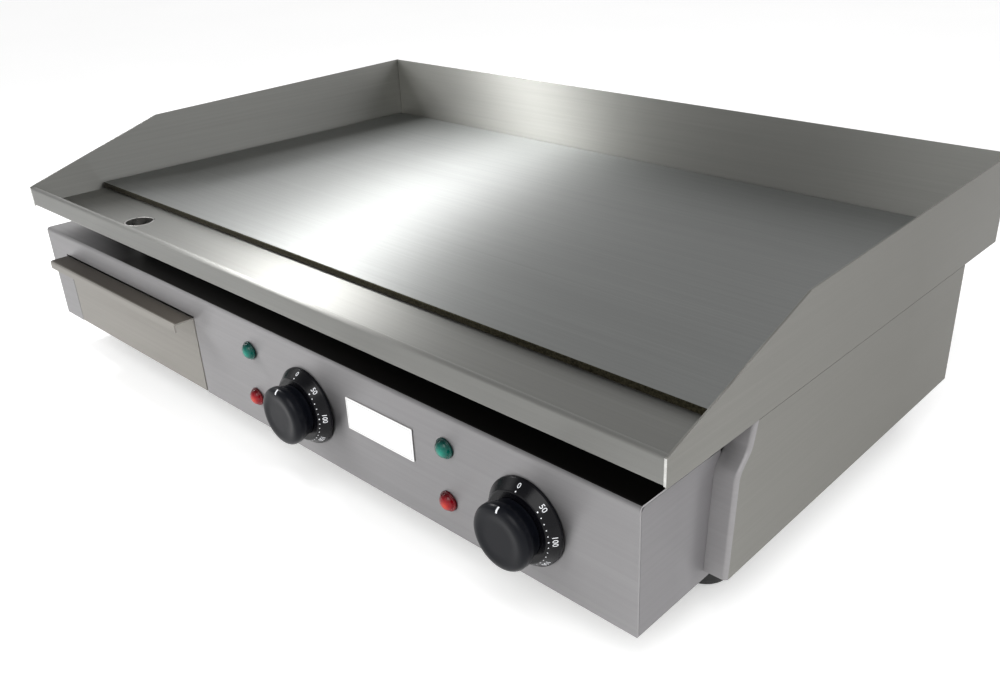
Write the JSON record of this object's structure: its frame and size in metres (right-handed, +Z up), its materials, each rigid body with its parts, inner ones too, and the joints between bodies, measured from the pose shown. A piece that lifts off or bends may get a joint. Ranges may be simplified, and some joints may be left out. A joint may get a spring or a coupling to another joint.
{
  "type": "flat top griddle",
  "caption": "Countertop electric flat top griddle: steel plate in a stainless pan with splash guards, gutter and drain, dial thermostats, lamps and a grease drawer.",
  "frame": {"origin": "centre of the bounding box footprint, on the surface that the feet stand on", "axes": "+Z up; +X to the operator's right along the plate; the controls face -Y"},
  "size_m": [0.73, 0.4774, 0.2071],
  "materials": {
    "stainless_sheet": "fine brushed stainless sheet",
    "griddle_steel": "ground steel cooking surface, brushed side to side",
    "zinc_plated_steel": "zinc plated",
    "element_sheath": "heat-darkened steel sheath",
    "copper_line": "drawn copper",
    "black_phenolic": "black moulded phenolic, satin",
    "cable_sleeve": "black sleeve",
    "green_lens": "clear green moulded lens",
    "red_lens": "clear red moulded lens",
    "name_plate_white": "blank white plate",
    "white_ceramic": "white ceramic",
    "black_rubber": "black rubber"
  },
  "bodies": {
    "griddle_body": {"back_splash_guard": "stainless_sheet", "base_plate": "stainless_sheet", "control_box_floor": "stainless_sheet", "cord_gland": "black_phenolic", "drain_spout": "stainless_sheet", "front_left_foot": "black_rubber", "front_left_foot_bolt": "zinc_plated_steel", "front_panel": "stainless_sheet", "front_right_foot": "black_rubber", "front_right_foot_bolt": "zinc_plated_steel", "front_support_bar": "zinc_plated_steel", "griddle_plate": "griddle_steel", "gutter_tray": "stainless_sheet", "heat_shield": "zinc_plated_steel", "left_box_side": "stainless_sheet", "left_capillary": "copper_line", "left_dial_bezel": "black_phenolic", "left_drawer_runner": "zinc_plated_steel", "left_heater_clamp": "zinc_plated_steel", "left_heating_element": "element_sheath", "left_heating_lamp_holder": "white_ceramic", "left_heating_lens": "red_lens", "left_power_lamp_holder": "white_ceramic", "left_power_lens": "green_lens", "left_side_panel": "stainless_sheet", "left_splash_guard": "stainless_sheet", "left_support_rail": "zinc_plated_steel", "left_thermostat": "zinc_plated_steel", "left_wire_loom": "cable_sleeve", "name_plate": "name_plate_white", "rear_left_foot": "black_rubber", "rear_left_foot_bolt": "zinc_plated_steel", "rear_panel": "stainless_sheet", "rear_right_foot": "black_rubber", "rear_right_foot_bolt": "zinc_plated_steel", "rear_support_bar": "zinc_plated_steel", "right_box_side": "stainless_sheet", "right_capillary": "copper_line", "right_dial_bezel": "black_phenolic", "right_drawer_runner": "zinc_plated_steel", "right_heater_clamp": "zinc_plated_steel", "right_heating_element": "element_sheath", "right_heating_lamp_holder": "white_ceramic", "right_heating_lens": "red_lens", "right_power_lamp_holder": "white_ceramic", "right_power_lens": "green_lens", "right_side_panel": "stainless_sheet", "right_splash_guard": "stainless_sheet", "right_support_rail": "zinc_plated_steel", "right_thermostat": "zinc_plated_steel", "right_wire_loom": "cable_sleeve", "terminal_block": "white_ceramic"},
    "left_knob": {"left_knob": "black_phenolic", "left_knob_shaft": "zinc_plated_steel"},
    "right_knob": {"right_knob": "black_phenolic", "right_knob_shaft": "zinc_plated_steel"},
    "drawer": {"drawer_front": "stainless_sheet", "drawer_tray": "stainless_sheet"}
  },
  "joints": [
    {"name": "drawer_slide", "type": "slide", "parent": "griddle_body", "child": "drawer", "axis": [0, -1, 0], "range_m": [0, 0.2]},
    {"name": "left_knob_turn", "type": "hinge", "parent": "griddle_body", "child": "left_knob", "pos_m": [0.0553, -0.21425, 0.0707], "axis": [0, 1, 0], "range_deg": [0, 275]},
    {"name": "right_knob_turn", "type": "hinge", "parent": "griddle_body", "child": "right_knob", "pos_m": [0.2682, -0.21425, 0.0707], "axis": [0, 1, 0], "range_deg": [0, 275]}
  ]
}
